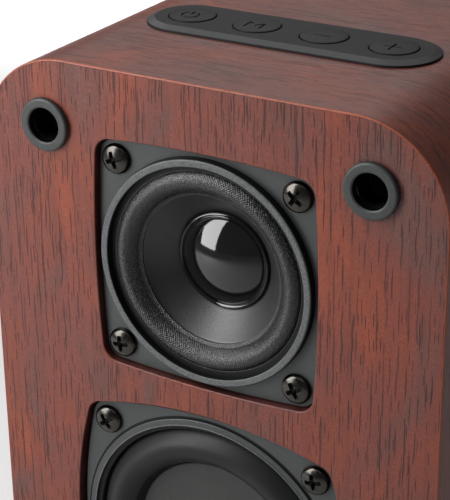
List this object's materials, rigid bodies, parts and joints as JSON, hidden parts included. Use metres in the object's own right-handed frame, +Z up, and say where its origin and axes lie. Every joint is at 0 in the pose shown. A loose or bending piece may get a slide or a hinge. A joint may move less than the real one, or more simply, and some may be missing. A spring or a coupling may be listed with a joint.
{
  "type": "desktop speaker",
  "caption": "Small active desktop loudspeaker: rounded wood-veneered cabinet with a full-range driver above a passive bass radiator, corner grille sockets and press buttons on top.",
  "frame": {"origin": "centre of the footprint of the object's box, on the surface it stands on", "axes": "+Z up, -Y the way the drive units face, +X to the listener's right"},
  "size_m": [0.132, 0.133, 0.2001],
  "materials": {
    "veneer": "satin reddish-brown wood-grain veneer",
    "board": "painted wood board",
    "socket_rubber": "matte moulded rubber",
    "foot_rubber": "matte rubber",
    "panel_plastic": "matte charcoal plastic",
    "button_plastic": "matte charcoal plastic with engraved symbols",
    "switch_plastic": "matte black plastic",
    "circuit_board": "green circuit board",
    "black_screw": "gloss black screw",
    "zinc_screw": "zinc-plated steel",
    "frame_paint": "satin dark grey",
    "trim_plastic": "fine-textured dark grey",
    "surround_cloth": "coated woven cloth",
    "cone_paper": "matte black pulp",
    "gloss_black": "gloss black",
    "former_paper": "brown former paper",
    "copper": "varnished copper wire",
    "plated_steel": "zinc-plated steel",
    "ferrite": "matte ferrite",
    "tag_brass": "plated brass",
    "foam": "closed-cell foam",
    "surround_rubber": "satin rubber",
    "disc_plastic": "matte charcoal disc",
    "weight_steel": "plain steel",
    "plate_plastic": "matte black moulded plastic",
    "heatsink_aluminium": "black anodised aluminium",
    "capacitor_sleeve": "shrunk sleeve",
    "red_lead": "insulated wire",
    "black_lead": "insulated wire",
    "grey_ribbon": "flat ribbon cable",
    "wadding": "loose polyester wadding"
  },
  "bodies": {
    "cabinet": {"amplifier_board": "circuit_board", "amplifier_chip": "switch_plastic", "amplifier_heatsink": "heatsink_aluminium", "aux_jack": "plate_plastic", "board_standoffs": "plate_plastic", "button_board": "circuit_board", "button_board_screws": "zinc_screw", "cabinet_shell": "veneer", "capacitors": "capacitor_sleeve", "control_panel": "panel_plastic", "corner_blocks": "board", "damping_wadding": "wadding", "dc_inlet": "plate_plastic", "dc_inlet_pin": "tag_brass", "driver_basket": "frame_paint", "driver_lead_black": "black_lead", "driver_lead_red": "red_lead", "driver_magnet": "ferrite", "driver_ring": "trim_plastic", "driver_screws": "black_screw", "driver_seal": "foam", "driver_spider": "surround_cloth", "driver_surround": "surround_cloth", "driver_tags": "tag_brass", "driver_terminal_strip": "circuit_board", "driver_top_plate": "plated_steel", "driver_yoke": "plated_steel", "front_baffle": "veneer", "grille_socket_bottom_left": "socket_rubber", "grille_socket_bottom_right": "socket_rubber", "grille_socket_top_left": "socket_rubber", "grille_socket_top_right": "socket_rubber", "link_jack": "plate_plastic", "radiator_frame": "frame_paint", "radiator_ring": "trim_plastic", "radiator_screws": "black_screw", "radiator_seal": "foam", "radiator_surround": "surround_rubber", "rear_panel": "board", "rear_panel_screws": "zinc_screw", "ribbon_cable": "grey_ribbon", "rubber_feet": "foot_rubber", "tact_switches": "switch_plastic", "terminal_plate": "plate_plastic", "terminal_plate_screws": "black_screw"},
    "power_key": {"power_button": "button_plastic", "power_plunger": "switch_plastic"},
    "mode_key": {"mode_button": "button_plastic", "mode_plunger": "switch_plastic"},
    "volume_down_key": {"volume_down_button": "button_plastic", "volume_down_plunger": "switch_plastic"},
    "volume_up_key": {"volume_up_button": "button_plastic", "volume_up_plunger": "switch_plastic"},
    "driver_diaphragm": {"driver_cone": "cone_paper", "driver_dust_cap": "gloss_black", "voice_coil_former": "former_paper", "voice_coil_winding": "copper"},
    "radiator_diaphragm": {"radiator_plate": "disc_plastic", "radiator_weight": "weight_steel"}
  },
  "joints": [
    {"name": "power_press", "type": "slide", "parent": "cabinet", "child": "power_key", "axis": [0, 0, -1], "range_m": [0, 0.0006], "stiffness_N_per_m": 800, "springref_m": -0.0003},
    {"name": "mode_press", "type": "slide", "parent": "cabinet", "child": "mode_key", "axis": [0, 0, -1], "range_m": [0, 0.0006], "stiffness_N_per_m": 800, "springref_m": -0.0003},
    {"name": "volume_down_press", "type": "slide", "parent": "cabinet", "child": "volume_down_key", "axis": [0, 0, -1], "range_m": [0, 0.0006], "stiffness_N_per_m": 800, "springref_m": -0.0003},
    {"name": "volume_up_press", "type": "slide", "parent": "cabinet", "child": "volume_up_key", "axis": [0, 0, -1], "range_m": [0, 0.0006], "stiffness_N_per_m": 800, "springref_m": -0.0003},
    {"name": "driver_cone_slide", "type": "slide", "parent": "cabinet", "child": "driver_diaphragm", "axis": [0, -1, 0], "range_m": [-0.002, 0.002], "stiffness_N_per_m": 1250, "deforming": ["driver_surround", "driver_spider"]},
    {"name": "radiator_slide", "type": "slide", "parent": "cabinet", "child": "radiator_diaphragm", "axis": [0, -1, 0], "range_m": [-0.003, 0.003], "stiffness_N_per_m": 1000, "deforming": ["radiator_surround"]}
  ]
}
